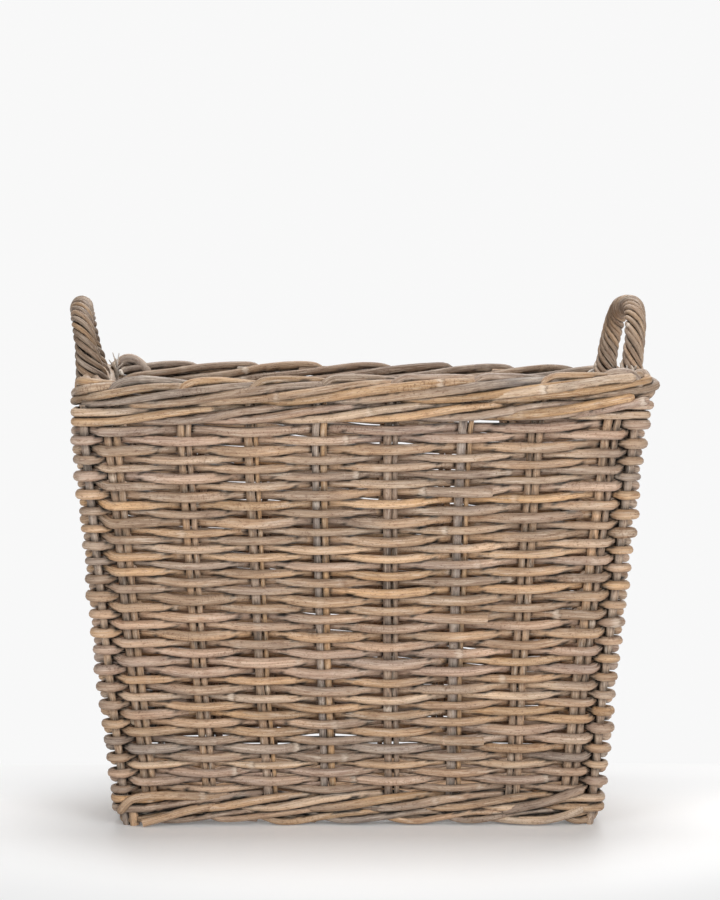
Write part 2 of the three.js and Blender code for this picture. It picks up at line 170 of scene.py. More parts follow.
def from_post(wall, angle):
    """The way out from the post at the start of a wall, turned from the diagonal by an angle."""
    before = WALLS[WALLS.index(wall) - 1]
    diagonal = (wall.out + before.out) / sqrt(2)
    sideways = (wall.run + before.run) / sqrt(2)
    return diagonal * math.cos(angle) + sideways * math.sin(angle)


def pass_points(station, side, z, radius, hold=PAIR_HOLD):
    """Points of a cane that passes a station outside, side 1, or inside, side -1."""
    wall, index = station
    if index is not None:
        along = wall.pair_along(index, z)
        out = side * (radius + STAKE_RADIUS)
        return [wall.point(along + on, out, z) for on in ((-hold, hold) if hold else (0,))]
    post = wall.post(z)
    if side < 0:
        clear = radius + POST_RADIUS
        return [np.array([*(post[:2] - from_post(wall, 0) * clear), z + WALL_LEAN * clear])]
    clear = radius + POST_RADIUS + CORNER_SLACK
    ways = [from_post(wall, angle) for angle in (-LOOP_TURN, 0, LOOP_TURN)]
    return [np.array([*(post[:2] + way * clear), z - WALL_LEAN * clear]) for way in ways]


# The basket isn't quite even. Below the rim it sags to the left, and its foot stands further out there. Its
# rim stands out at its right end, and is higher at the front right and the back left.
FOOT_SKEW = 0.006
SIDE_SAG = 0.0043
RIM_SPREAD = 0.003
RIM_LIFT = 0.003
RIM_LIFT_X = 0.0032
RIM_LIFT_Y = 0.005
RIM_TWIST = -0.058
SAG_LEVELS, SAG_PARTS = (0, 0.15, 0.32, 0.9, 1), (0.2, 0.35, 0.85, 1, 0)
SPREAD_LEVELS, SPREAD_PARTS = (0.93, 1, 1.03), (0, 1, 0)


def settle(points):
    x, y, z = points.T
    level = np.clip(z / RIM_Z, 0, 1.25)
    points = points.copy()
    points[:, 0] -= FOOT_SKEW * smooth(np.clip(-x / 0.2, 0, 1)) * np.clip(1 - level, 0, 1)
    points[:, 0] -= SIDE_SAG * np.interp(level, SAG_LEVELS, SAG_PARTS)
    points[:, 0] += RIM_SPREAD * np.clip(x / 0.3, 0, 1) ** 3 * np.interp(level, SPREAD_LEVELS, SPREAD_PARTS)
    points[:, 2] += level * (RIM_LIFT + RIM_LIFT_X * x + RIM_LIFT_Y * y + RIM_TWIST * x * y)
    return points


# Smooth lines through points

def between(a, b, start, end, t):
    return (end - t) / (end - start) * a + (t - start) / (end - start) * b


def spline(points, step):
    """Points a step apart on the centripetal Catmull-Rom curve through the given ones."""
    p = np.array(points)
    p = np.vstack([2 * p[0] - p[1], p, 2 * p[-1] - p[-2]])
    out = []
    for i in range(1, len(p) - 2):
        p0, p1, p2, p3 = p[i - 1:i + 3]
        t1 = sqrt(norm(p1 - p0))
        t2 = t1 + sqrt(norm(p2 - p1))
        t3 = t2 + sqrt(norm(p3 - p2))
        count = max(1, round(norm(p2 - p1) / step))
        t = np.linspace(t1, t2, count, endpoint=False)[:, None]
        a1, a2, a3 = between(p0, p1, 0, t1, t), between(p1, p2, t1, t2, t), between(p2, p3, t2, t3, t)
        b1, b2 = between(a1, a2, 0, t2, t), between(a2, a3, t1, t3, t)
        out.append(between(b1, b2, t1, t2, t))
    return np.vstack([*out, p[-2]])


def wander(count, reach, rise):
    """A smooth random line of numbers that strays about rise to each side, over a reach in places."""
    knots = rng.normal(0, rise, count // reach + 4)
    x = np.arange(count) / reach + 1
    i = x.astype(int)
    f = smooth(x - i)
    return knots[i] * (1 - f) + knots[i + 1] * f


# Canes. Each is a tube with what its material needs at every point: its place on the cane as cos, sin and
# length, its colour, darkened by painted shade where canes crowd together, and how far and how strong the
# nearest node ring is.
PALETTE = {
    "tan": (0.49, 0.327, 0.202),
    "light": (0.582, 0.433, 0.305),
    "taupe": (0.353, 0.256, 0.189),
    "pink": (0.452, 0.324, 0.252),
    "golden": (0.52, 0.33, 0.176),
    "grey": (0.372, 0.306, 0.258),
    "brown": (0.24, 0.155, 0.102),
}
# Parts of the canes that have each colour
MIX = {"tan": 0.31, "light": 0.13, "taupe": 0.19, "pink": 0.17, "golden": 0.12, "grey": 0.06, "brown": 0.02}
OTHER_COLOUR = 0.22  # part of a second colour in that of each cane
PITH = (0.55, 0.43, 0.3)  # colour of the cut ends
NODE_APART = 0.27
NODE_REACH = 0.016
SWELL_REACH = 0.004
NO_NODE = 0.03  # marks places far from any node
UNEVEN = 0.028  # how much a cane's thickness strays along it
TIP_LENGTH = 0.4
TIP_RADIUS = 0.82
STRIP_GAP = 0.0012  # between the strips of unrolled skin
BUNDLES = []


def pick_colour(mix=MIX):
    names, weights = list(mix), np.array(list(mix.values()))
    colour = np.array(PALETTE[names[rng.choice(len(names), p=weights / weights.sum())]])
    other = np.array(PALETTE[names[rng.integers(len(names))]])
    return (colour * (1 - OTHER_COLOUR) + other * OTHER_COLOUR) * rng.uniform(0.9, 1.12)


def add_object(name, data):
    piece = bpy.data.objects.new(name, data)
    scene.collection.objects.link(piece)
    return piece


class Bundle:
    """Tubes that become one object."""

    def __init__(self):
        self.columns = [], [], [], [], []  # points, normals, places on the cane, colours and node rings
        self.faces, self.tubes = [], []
        self.count = 0

    def put(self, *columns):
        for store, column in zip(self.columns, columns):
            store.append(column.reshape(-1, column.shape[-1]))
        self.count += len(self.columns[0][-1])

    def add(self, points, radius, colour, sides=10, facing=(0, 0, 1), squash=0.0, nodes=True, other=None,
            round_ends=True):
        points = settle(np.asarray(points, float))
        n = len(points)
        along = lengths_along(points)
        tangent = unit(np.gradient(points, axis=0))
        across = np.empty_like(points)
        last = np.array(facing, float)
        for i in range(n):
            side = last - tangent[i] * (last @ tangent[i])
            length = norm(side)
            last = side / length if length > 1e-6 else last
            across[i] = last
        rise = np.cross(tangent, across)
        radii = np.broadcast_to(np.asarray(radius, float), (n,)).copy()
        radii *= 1 + wander(n, 9, UNEVEN)
        mark = np.tile((NO_NODE, 0.0, 0.0), (n, 1))
        if nodes:
            place = rng.uniform(0.02, NODE_APART)
            while place < along[-1]:
                i = np.argmin(abs(along - place))
                away = along - along[i]
                close = np.clip(1 - abs(away) / NODE_REACH, 0, 1)
                near = close > mark[:, 1]
                mark[near, 0] = away[near]
                mark[near, 1] = close[near]
                mark[near, 2] = rng.uniform(0, 1) ** 1.8
                radii *= 1 + rng.uniform(0.03, 0.1) * np.exp(-(away / SWELL_REACH) ** 2)
                place += NODE_APART * rng.uniform(0.45, 1.7)
        if round_ends:
            tip = TIP_LENGTH * min(radii[0], along[1])
            points = np.vstack([points[0] - tangent[0] * tip, points, points[-1] + tangent[-1] * tip])
            across, rise, mark = (np.concatenate([a[:1], a, a[-1:]]) for a in (across, rise, mark))
            radii = np.concatenate([radii[:1] * TIP_RADIUS, radii, radii[-1:] * TIP_RADIUS])
            along = np.concatenate([[0], along + tip, [along[-1] + 2 * tip]])
            n += 2
        angle = rng.uniform(0, 2 * pi) + np.arange(sides) / sides * 2 * pi
        cos, sin = np.cos(angle), np.sin(angle)
        ring = across[:, None] * cos[:, None] + rise[:, None] * (1 - squash) * sin[:, None]
        verts = points[:, None] + ring * radii[:, None, None]
        space = np.stack(np.broadcast_arrays(cos, sin, (along + rng.uniform(0, 50))[:, None]), -1)
        second = pick_colour() if other is None else np.asarray(other)
        blend = np.clip(0.25 + wander(n, 16, 0.32), 0, 0.85)[:, None]
        tint = np.clip(1 + wander(n, 11, 0.06), 0.82, 1.18)
        blended = (np.asarray(colour) * (1 - blend) + second * blend) * tint[:, None]
        colours = np.ones((n, sides, 4))
        colours[..., :3] = blended[:, None]
        mark = np.repeat(mark[:, None], sides, axis=1)
        i = np.arange(n - 1)[:, None] * sides
        j = np.arange(sides)
        k = (j + 1) % sides
        quads = np.stack([i + j, i + k, i + k + sides, i + j + sides], -1).reshape(-1, 4) + self.count
        self.faces += quads[:, ::-1].tolist()
        self.put(verts, ring, space, colours, mark)
        pith = np.tile([*np.array(PITH) * rng.uniform(0.55, 1.0), 1.0], (sides, 1))
        for end, flip in ((0, 1), (-1, -1)):
            self.faces.append((self.count + np.arange(sides))[::flip].tolist())
            out = np.tile(tangent[end] * -flip, (sides, 1))
            self.put(verts[end], out, space[end], pith, np.tile((NO_NODE, 0, 0), (sides, 1)))
        self.tubes.append((n, sides, along, float(2 * pi * radii.mean()), points, radii))

    def strips(self):
        """The skins of the tubes unrolled and cut into rows on a square, as a place for each face corner."""
        area = sum(around * along[-1] for _, _, along, around, _, _ in self.tubes)
        size = sqrt(area)
        while (rows := self.lay_rows(size)) is None:
            size *= 1.02
        corners = []
        for (n, sides, along, around, _, _), pieces in zip(self.tubes, rows):
            left, base = np.zeros(n), np.zeros(n)
            ring = np.arange(n - 1)
            for first, last, x, y in pieces:
                left[first:last] = x - along[first]
                base[first:last] = y
            i = np.repeat(ring, sides)
            j = np.tile(np.arange(sides), n - 1)
            near = np.stack([left[i] + along[i], base[i] + j / sides * around], -1)
            far = np.stack([left[i] + along[i + 1], base[i] + j / sides * around], -1)
            up = np.array([0, around / sides])
            corners.append(np.stack([far, far + up, near + up, near], 1).reshape(-1, 2))
            first, _, x, y = pieces[-1]
            x += along[n - 1] - along[first] + STRIP_GAP
            turn = np.arange(sides) / sides * 2 * pi
            disc = np.stack([np.cos(turn), np.sin(turn)], -1) * around / 14 + around / 13
            corners.append(np.array([x, y]) + disc)
            corners.append((np.array([x, y + around / 2]) + disc)[::-1])
        return np.vstack(corners) / size

    def lay_rows(self, size):
        height = max(around for _, _, _, around, _, _ in self.tubes) + STRIP_GAP
        x, y = 0.0, 0.0
        rows = []
        for n, _, along, around, _, _ in self.tubes:
            pieces, first = [], 0
            cap = around / 6 + 2 * STRIP_GAP
            while first < n - 1:
                room = size - x - cap
                last = int(np.searchsorted(along, along[first] + room, side="right")) - 1
                if last <= first:
                    x, y = 0.0, y + height
                    if y + height > size:
                        return None
                    continue
                last = min(last, n - 1)
                pieces.append((first, last, x, y))
                x += along[last] - along[first] + STRIP_GAP
                if last < n - 1:
                    x = size
                first = last
            x += cap
            rows.append(pieces)
        return rows if y + height <= size else None

    def build(self, name, slot, *nodes):
        BUNDLES.append((self, name, slot, nodes))

    def finish(self, name, slot, nodes, crowd):
        verts, normals, space, colour, node = (np.vstack(column) for column in self.columns)
        mesh = bpy.data.meshes.new(name)
        mesh.from_pydata(verts.tolist(), [], self.faces)
        dark = CROWD_DARK_RIM if name.startswith("rim") else CROWD_DARKS.get(slot, CROWD_DARK)
        # Painted shade: the colours are darkened where canes crowd together, by a part given for each
        # material
        colour[:, :3] *= crowd.shade(verts, normals, dark)[:, None]
        for label, kind, data, field in (
            ("cane_space", "FLOAT_VECTOR", space, "vector"),
            ("cane_colour", "FLOAT_COLOR", colour, "color"),
            ("cane_node", "FLOAT_VECTOR", node, "vector"),
        ):
            layer = mesh.attributes.new(label, kind, "POINT")
            layer.data.foreach_set(field, data.astype(np.float32).ravel())
        layer = mesh.uv_layers.new(name="OFBake")
        layer.data.foreach_set("uv", self.strips().astype(np.float32).ravel())
        mesh.polygons.foreach_set("use_smooth", [len(face) == 4 for face in self.faces])
        mesh.materials.append(MATERIALS[slot])
        piece = add_object(name, mesh)
        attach(piece, "root")
        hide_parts(*nodes)


# Painted shade: canes are painted darker where they lie close together, for the shade in the crevices between
# them. The crowd is how much cane fills each cell of a grid, probed a little off the skin. A cane starts to
# darken at the open level and is darkest at the full one.
CROWD_CELL = 0.0024
CROWD_EDGE = 0.03
CROWD_PROBE = 0.0043
CROWD_OPEN = 0.25
CROWD_FULL = 0.42
CROWD_DARK = 1.0
CROWD_DARKS = {"stake_rattan": 0.74, "handle_rattan": 0.96}
CROWD_DARK_RIM = 0.82


class Crowd:
    def __init__(self, bundles):
        self.low = np.array(cad_box[0]) - CROWD_EDGE
        size = np.ceil((np.array(cad_box[1]) + CROWD_EDGE - self.low) / CROWD_CELL).astype(int)
        self.grid = np.zeros(size, np.float32)
        for bundle in bundles:
            for _, _, along, _, points, radii in bundle.tubes:
                cells = ((points - self.low) / CROWD_CELL).astype(int)
                volume = pi * radii ** 2 * np.gradient(along) / CROWD_CELL ** 3
                np.add.at(self.grid, tuple(np.clip(cells, 0, size - 1).T), volume)
        for axis in range(3):
            for _ in range(2):
                self.grid = (self.grid + np.roll(self.grid, 1, axis) + np.roll(self.grid, -1, axis)) / 3

    def shade(self, verts, normals, dark):
        cells = ((verts + normals * CROWD_PROBE - self.low) / CROWD_CELL).astype(int)
        cells = np.clip(cells, 0, np.array(self.grid.shape) - 1)
        crowd = self.grid[tuple(cells.T)]
        part = np.clip((crowd - CROWD_OPEN) / (CROWD_FULL - CROWD_OPEN), 0, 1)
        return 1 - dark * smooth(part)


# Materials

class Nodes:
    """Short forms for building a node tree."""

    def __init__(self, owner):
        owner.use_nodes = True
        self.tree = owner.node_tree
        self.tree.nodes.clear()

    def new(self, kind, inputs=None, **settings):
        node = self.tree.nodes.new("ShaderNode" + kind)
        for key, value in settings.items():
            setattr(node, key, value)
        for key, value in (inputs or {}).items():
            if isinstance(value, bpy.types.NodeSocket):
                self.tree.links.new(value, node.inputs[key])
            else:
                node.inputs[key].default_value = value
        return node

    def math(self, operation, a, b=0.0):
        return self.new("Math", {0: a, 1: b}, operation=operation).outputs[0]

    def times(self, a, b):
        return self.math("MULTIPLY", a, b)

    def noise(self, vector, around, along, detail=2.0, rough=0.5, distortion=0.0):
        """Noise on a cane, with its fineness round the cane and along it."""
        place = self.new("Mapping", {"Vector": vector, "Scale": (around, around, along)}).outputs[0]
        inputs = {"Vector": place, "Scale": 1, "Detail": detail, "Roughness": rough, "Distortion": distortion}
        return self.new("TexNoise", inputs).outputs["Fac"]

    def attribute(self, name, output):
        return self.new("Attribute", attribute_name=name).outputs[output]

    def ramp(self, value, low, high, out_low=0.0, out_high=1.0):
        inputs = {"Value": value, "From Min": low, "From Max": high, "To Min": out_low, "To Max": out_high}
        return self.new("MapRange", inputs, interpolation_type="SMOOTHSTEP").outputs[0]

    def mix(self, factor, a, b, blend="MIX"):
        return self.new("Mix", {0: factor, 6: a, 7: b}, data_type="RGBA", blend_type=blend).outputs[2]

    def tinted(self, colour, red, green, blue):
        return self.mix(1.0, colour, (red, green, blue, 1), "MULTIPLY")


WOBBLE = 0.016  # how far the edges of a node ring stray
RING_EDGES = (0.0006, 0.005)
LINE_APART = 0.0036  # from a node ring to the dark line beside it
LINE_EDGES = (0.0003, 0.0011)
BUMP_HEIGHT = 0.0007


def cane_material(name, wrinkles, dull):
    """Rattan with its skin on: lengthwise streaks, mottling, wrinkled stretches and pale node rings."""
    material = bpy.data.materials.new(name)
    n = Nodes(material)
    space = n.attribute("cane_space", "Vector")
    # The cane colour, with the painted shade of the crevices already in it
    colour = n.attribute("cane_colour", "Color")
    node = n.new("SeparateXYZ", {0: n.attribute("cane_node", "Vector")})
    signed, weight, kind = node.outputs
    streaks = n.noise(space, 3.2, 22, 3, 0.6)
    fibre = n.noise(space, 9.0, 45, 2, 0.6)
    tone = n.noise(space, 0.45, 9)
    mottle = n.noise(space, 1.3, 95, 3, 0.6)
    ridges = n.noise(space, 1.1, 520, 2, 0.5, 0.4)
    stretch = n.ramp(n.noise(space, 0.2, 8.5, 1), 0.56, 0.66)
    wrinkle = n.times(n.ramp(ridges, 0.54, 0.64), stretch)
    bloom = n.noise(space, 0.8, 26, 4, 0.65, 0.3)
    specks = n.noise(space, 3.4, 420, 2, 0.6)

    base = n.mix(n.ramp(tone, 0.3, 0.7), n.tinted(colour, 0.8, 0.82, 0.86),
                 n.tinted(colour, 1.17, 1.13, 1.07))
    base = n.mix(n.ramp(bloom, 0.54, 0.7, 0.0, 0.46), base, (0.66, 0.56, 0.46, 1))
    base = n.mix(n.ramp(streaks, 0.36, 0.6, 0.7, 0.0), base, n.tinted(base, 0.58, 0.51, 0.46))
    base = n.mix(n.ramp(fibre, 0.5, 0.72, 0.0, 0.45), base, (0.78, 0.66, 0.53, 1))
    base = n.mix(n.ramp(mottle, 0.54, 0.68, 0.0, 0.6), base, n.tinted(base, 0.6, 0.5, 0.43))
    base = n.mix(n.ramp(specks, 0.58, 0.68, 0.0, 0.7), base, n.tinted(base, 0.46, 0.36, 0.3))
    base = n.mix(n.times(wrinkle, wrinkles), base, n.tinted(base, 0.46, 0.36, 0.3))

    rags = n.noise(space, 2.6, 110, 4, 0.7)
    from_node = n.math("ADD", signed, n.times(n.math("SUBTRACT", rags, 0.5), WOBBLE))
    strength = n.times(n.ramp(weight, 0.0, 0.35), kind)
    ring = n.times(n.ramp(n.math("ABSOLUTE", from_node), *RING_EDGES, 1.0, 0.0), strength)
    from_line = n.math("ABSOLUTE", n.math("SUBTRACT", from_node, LINE_APART))
    line = n.times(n.ramp(from_line, *LINE_EDGES, 1.0, 0.0), strength)
    base = n.mix(n.times(ring, n.ramp(fibre, 0.35, 0.6, 0.22, 0.72)), base, (0.72, 0.62, 0.51, 1))
    base = n.mix(n.times(line, n.ramp(streaks, 0.4, 0.6, 0.15, 0.7)), base, (0.17, 0.11, 0.075, 1))

    height = n.times(streaks, 0.35)
    for part, rise in ((fibre, 0.18), (wrinkle, -0.9 * wrinkles), (ring, 0.6), (line, -0.6),
                       (n.ramp(specks, 0.6, 0.72), -0.25)):
        height = n.math("ADD", height, n.times(part, rise))
    bump = n.new("Bump", {"Strength": 0.7, "Distance": BUMP_HEIGHT, "Height": height})
    rough = n.ramp(streaks, 0.3, 0.7, 0.68 + dull, 0.5 + dull)
    inputs = {"Base Color": base, "Roughness": rough, "Normal": bump.outputs[0], "Specular IOR Level": 0.38}
    shader = n.new("BsdfPrincipled", inputs)
    n.new("OutputMaterial", {"Surface": shader.outputs[0]})
    return material


# How deep the wrinkles of each material are and how dull it is
LOOKS = {"weaver_rattan": (0.5, 0), "stake_rattan": (0.25, 0), "wale_rattan": (0.5, 0),
         "border_rattan": (0.6, 0), "handle_rattan": (0.3, 0), "base_rattan": (0.4, 0.1)}
MATERIALS = {name: cane_material(name, *look) for name, look in LOOKS.items()}


# Weave. Canes are cut from two long ways that wind up the wall, one passing outside where the other passes
# inside, and their thicknesses add up to the heights of the rows. A cane ends inside, behind a stake, and the
# next one begins between it and the stake.
CANE_STEP = 0.005
SAG = 0.0065  # of the rows in the middle of a long wall
ROW_SLACK = 0.00025
SLIT_PART, SLIT = 0.035, 0.0015  # part of the places where rows gape, and how far
ROW_BOTTOM = WEAVE_LOW_Z + 0.0048
ROW_TOP = WEAVE_HIGH_Z - 0.005
FIRST_CUT, NEXT_CUT, LAST_CUT = (14, 34), (18, 40), 12  # stations to the first, to the next, to the end
OPEN_SPLICES = 0.06  # part of the splices that lie outside
SPLICE_REACH = 0.02
OPEN_START = 0.15  # part of that reach where a cane begins outside
ENDS_APART = 0.92  # from the end of a cane to the next one, in thicknesses
WEAVER_RADIUS, WEAVER_SPREAD = 0.0047, 0.00045
WEAVER_THINNEST, WEAVER_THICKEST = 0.0038, 0.0057


def side_at(way, n):
    """1 where a way passes outside, and -1 inside."""
    return 1 if (CLIMB + n + way) % 2 == 0 else -1


def cut_places(way):
    """Stations where one cane ends and the next begins: the ends of the CAD canes and some between."""
    cuts = []
    for start, end in zip(CANE_STARTS, [*CANE_STARTS[1:], LAST_STATION]):
        cuts.append(start)
        place = start + int(rng.integers(*FIRST_CUT))
        while place < end - LAST_CUT:
            at_pair = STATIONS[(CLIMB + place) % TURN][1] is not None
            if at_pair and (side_at(way, place) < 0 or rng.uniform() < OPEN_SPLICES):
                cuts.append(place)
                place += int(rng.integers(*NEXT_CUT))
            else:
                place += 1
    cuts.append(LAST_STATION)
    return cuts


def row_heights(thickness):
    """Heights of rows at each station of a turn, from the thickness of the canes there."""
    pitch = (thickness[1:] + thickness[:-1]) / 2
    pitch = pitch + rng.exponential(ROW_SLACK, pitch.shape)
    pitch = pitch + np.where(rng.uniform(size=pitch.shape) < SLIT_PART, SLIT, 0)
    heights = np.vstack([np.zeros(TURN), np.cumsum(pitch, axis=0)])
    heights *= (ROW_TOP - ROW_BOTTOM) / heights[-1]
    kernel = np.array([1, 3, 1]) / 5
    wrapped = np.hstack([heights[:, -1:], heights, heights[:, :1]])
    heights = sum(wrapped[:, i:i + TURN] * kernel[i] for i in range(3))
    for j in range(TURN):
        wall, index = STATIONS[(CLIMB + j) % TURN]
        if index is None:
            continue
        middle = 1 - ((index - (wall.pairs - 1) / 2) / (wall.pairs / 2)) ** 2
        part = heights[:, j] / (ROW_TOP - ROW_BOTTOM)
        bow = np.interp(part, (0, 0.7, 1), (0, 1, 0.45))
        heights[:, j] -= SAG * middle * bow * (1 if wall.length > 0.4 else 0.5)
    return ROW_BOTTOM + heights


KNUCKLE_REACH = 0.0035
KNUCKLE_APART = 0.0092  # from the middle of the post


def knuckles(path):
    """How much thicker a cane is at each place, where it bends sharply round a corner."""
    grow = np.ones(len(path))
    for wall in WALLS:
        corner = np.array([wall.post(z)[:2] for z in path[:, 2]])
        for angle in (-LOOP_TURN, LOOP_TURN):
            knuckle = corner + from_post(wall, angle) * KNUCKLE_APART
            away = norm(path[:, :2] - knuckle, axis=1)
            size = np.clip(0.03 + wander(len(path), 7, 0.05), -0.02, 0.12)
            grow += size * np.exp(-(away / KNUCKLE_REACH) ** 2)
    return grow


# One way begins a little before its first station and the other ends a little after its last, so that the
# climb to the next row leaves no open wedge at the foot or at the rim.
WEDGE_STATIONS = 2


def make_weave():
    cuts = [cut_places(0), cut_places(1)]
    cuts[0][0] = -WEDGE_STATIONS
    cuts[1][-1] += WEDGE_STATIONS
    canes = [[(np.clip(rng.normal(WEAVER_RADIUS, WEAVER_SPREAD), WEAVER_THINNEST, WEAVER_THICKEST),
               pick_colour()) for _ in c[:-1]] for c in cuts]
    thickness = np.zeros((ROWS, TURN))
    for way in (0, 1):
        for n in range(WAY_STATIONS):
            place = min(n, LAST_STATION - 1)
            radius, _ = canes[way][int(np.searchsorted(cuts[way], place, side="right")) - 1]
            thickness[2 * (n // TURN) + way, n % TURN] = 2 * radius
    heights = row_heights(thickness)

    def control(way, n, radius):
        turn, j = divmod(n, TURN)
        climbed = max(0, j - TURN + CLIMB_SPANS) / CLIMB_SPANS
        if turn < 0:
            turn, climbed = 0, 0
        row = min(2 * turn + way, ROWS - 1)
        z = heights[row, j]
        z += (heights[min(row + 2, ROWS - 1), j] - z) * climbed
        station = STATIONS[(CLIMB + n) % TURN]
        lift = rng.normal(0, 0.0003)
        points = pass_points(station, side_at(way, n), z, radius)
        return [p + np.array([0, 0, lift + rng.normal(0, 0.00012)]) for p in points]

    def way_out(way, n):
        """The way off the stake on the side where the cane passes, and the way on along the wall."""
        wall = STATIONS[(CLIMB + n) % TURN][0]
        return np.array([*wall.out, 0]) * side_at(way, n), np.array([*wall.run, 0])

    for way in (0, 1):
        bundles = [Bundle() for _ in CANE_STARTS]
        for i, (radius, colour) in enumerate(canes[way]):
            first, last = cuts[way][i], cuts[way][i + 1]
            final = cuts[way][-1]
            stretches = [control(way, min(n, final - 1), radius) for n in range(first, last + 1)]
            if i > 0:
                _, run = way_out(way, first)
                back = SPLICE_REACH * (OPEN_START if side_at(way, first) > 0 else 1)
                stretches[0] = [stretches[0][0] - run * back, *stretches[0]]
            if last < final:
                out, run = way_out(way, last)
                end = stretches[-1][-1] + out * 2 * radius * ENDS_APART
                stretches[-1] = [end, end + run * SPLICE_REACH + out * 0.0012]
            points = [p for stretch in stretches for p in stretch]
            points = [p for k, p in enumerate(points) if k == 0 or norm(p - points[k - 1]) > 1e-4]
            path = spline(points, CANE_STEP)
            bundle = bundles[int(np.searchsorted(CANE_STARTS, max(first, 0), side="right")) - 1]
            bundle.add(path, radius * knuckles(path), colour)
        for cane, bundle in enumerate(bundles):
            number = f"{2 * cane + way + 1:02d}"
            bundle.build(f"weaver_{number}", "weaver_rattan", f"weaver_cane_{number}")


# Stakes and corner posts
STAKE_LOW = FOOT_TOP_Z - 0.004
STAKE_HIGH = RIM_Z - 0.006
POST_LOW = 0.0022
POST_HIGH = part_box("rim_wale_cane_1")[1][2]
STAKE_MIX = {"taupe": 0.3, "tan": 0.3, "golden": 0.12, "grey": 0.13, "pink": 0.12, "brown": 0.03}
THIN_MIX = {"golden": 0.12, "tan": 0.42, "taupe": 0.3, "pink": 0.16}
# Radii of the two canes of a pair, from least to most, and of each pair at the front
PAIR_RADII = ((0.0038, 0.0047), (0.0027, 0.0039))
FRONT_RADII = ((0.0043, 0.0038), (0.0039, 0.0032), (0.0047, 0.0024), (0.0039, 0.0036), (0.0046, 0.0029),
               (0.0048, 0.0027), (0.0036, 0.0042), (0.0048, 0.0038))
PAIR_GAP = 0.0005
STAKE_DEPTH = 0.0038  # half the depth of the thickest stakes, which are flattened
STAKE_STEPS = 60
# Colours of some canes at the front: pair and side of the pair
FRONT_COLOURS = {(2, 1): "golden", (3, 0): "grey", (3, 1): "golden", (5, 1): "golden", (1, 0): "tan",
                 (4, 0): "taupe"}
# The thin cane of this pair at the front is pieced together from three
PIECED_PAIR = 1
PIECED_AT = (0.08, 0.133)


def make_stakes():
    heights = np.linspace(STAKE_LOW, STAKE_HIGH, STAKE_STEPS)
    for wall in WALLS:
        for index in range(wall.pairs):
            bundle = Bundle()
            at_front = wall is WALLS[0]
            radii = FRONT_RADII[index] if at_front else [rng.uniform(*reach) for reach in PAIR_RADII]
            for along, radius in ((-radii[1] - PAIR_GAP / 2, radii[0]), (radii[0] + PAIR_GAP / 2, radii[1])):
                sway = wander(len(heights), 9, 0.0004)
                points = [wall.point(wall.pair_along(index, z) + along + aside, 0, z)
                          for z, aside in zip(heights, sway)]
                size = radius * rng.uniform(0.97, 1.02)
                flat = max(0, 1 - STAKE_DEPTH / size)
                thin = along > 0
                colour = pick_colour(THIN_MIX if thin else STAKE_MIX)
                named = FRONT_COLOURS.get((index, int(thin))) if at_front else None
                other = None
                if named:
                    colour = other = np.array(PALETTE[named])
                breaks = [0, len(points)]
                if thin and at_front and index == PIECED_PAIR:
                    breaks[1:1] = np.searchsorted(heights, PIECED_AT)
                for low, high in zip(breaks, breaks[1:]):
                    bundle.add(points[low:high + 1], size, colour, 12, (*wall.run, 0), flat, other=other)
            name = f"stake_pair_{wall.name}_{index + 1}"
            bundle.build(f"stakes_{wall.name}_{index + 1}", "stake_rattan", name)
    for wall, corner in zip(WALLS, CORNERS):
        bundle = Bundle()
        points = [wall.post(z) for z in np.linspace(POST_LOW, POST_HIGH, STAKE_STEPS)]
        bundle.add(points, POST_RADIUS, pick_colour(STAKE_MIX), 10, (*wall.out, 0))
        bundle.build(f"post_{corner}", "stake_rattan", f"corner_post_{corner}")


# Wales: four canes that turn round the stakes, two outside and two inside at a time
WALE_RADIUS = 0.0045
WALE_RISE = 0.0049


def make_wale(name, middle):
    shifts = np.cumsum([index is not None and index > 0 for _, index in STATIONS])
    for cane in range(4):
        bundle = Bundle()
        points = []
        for n in range(TURN + 1):
            place = CLIMB + n
            step = (int(shifts[place % TURN]) + int(shifts[-1]) * (place // TURN) + cane) % 4
            outside = step < 2
            station = STATIONS[place % TURN]
            if station[1] is None and not outside:
                continue
            rise = WALE_RISE if step in (1, 2) else -WALE_RISE
            points += pass_points(station, 1 if outside else -1, middle + rise, WALE_RADIUS, hold=0)
        bundle.add(spline(points, CANE_STEP), WALE_RADIUS, pick_colour())
        bundle.build(f"{name}_{cane + 1}", "wale_rattan", f"{name}_cane_{cane + 1}")


BORDER_CORNER = 0.022


class Ring:
    """The line of a border: the stake line at one height, with rounded corners."""

    def __init__(self, z):
        self.z = z
        places, outs = [], []
        for wall, following in zip(WALLS, [*WALLS[1:], WALLS[0]]):
            half = wall.half(z) - BORDER_CORNER
            for along in np.linspace(-half, half, 60):
                places.append(wall.point(along, 0, z))
                outs.append(wall.out)
            centre = wall.point(half, -BORDER_CORNER, z)
            for angle in np.linspace(0, pi / 2, 14)[1:-1]:
                out = wall.out * math.cos(angle) + following.out * math.sin(angle)
                places.append(np.array([*(centre[:2] + out * BORDER_CORNER), z]))
                outs.append(out)
        self.places = np.array([*places, places[0]])
        self.outs = np.array([*outs, outs[0]])
        self.at = lengths_along(self.places)
        self.length = self.at[-1]

    def find(self, point):
        """Place along the ring of the point nearest to the given one."""
        return self.at[np.argmin(norm(self.places[:-1] - point, axis=1))]

    def point(self, s, out, rise):
        s = s % self.length
        place = find_along(s, self.at, self.places)
        way = unit(find_along(s, self.at, self.outs))
        shift = out + WALL_LEAN * rise
        return place + np.array([way[0] * shift, way[1] * shift, rise - WALL_LEAN * out])


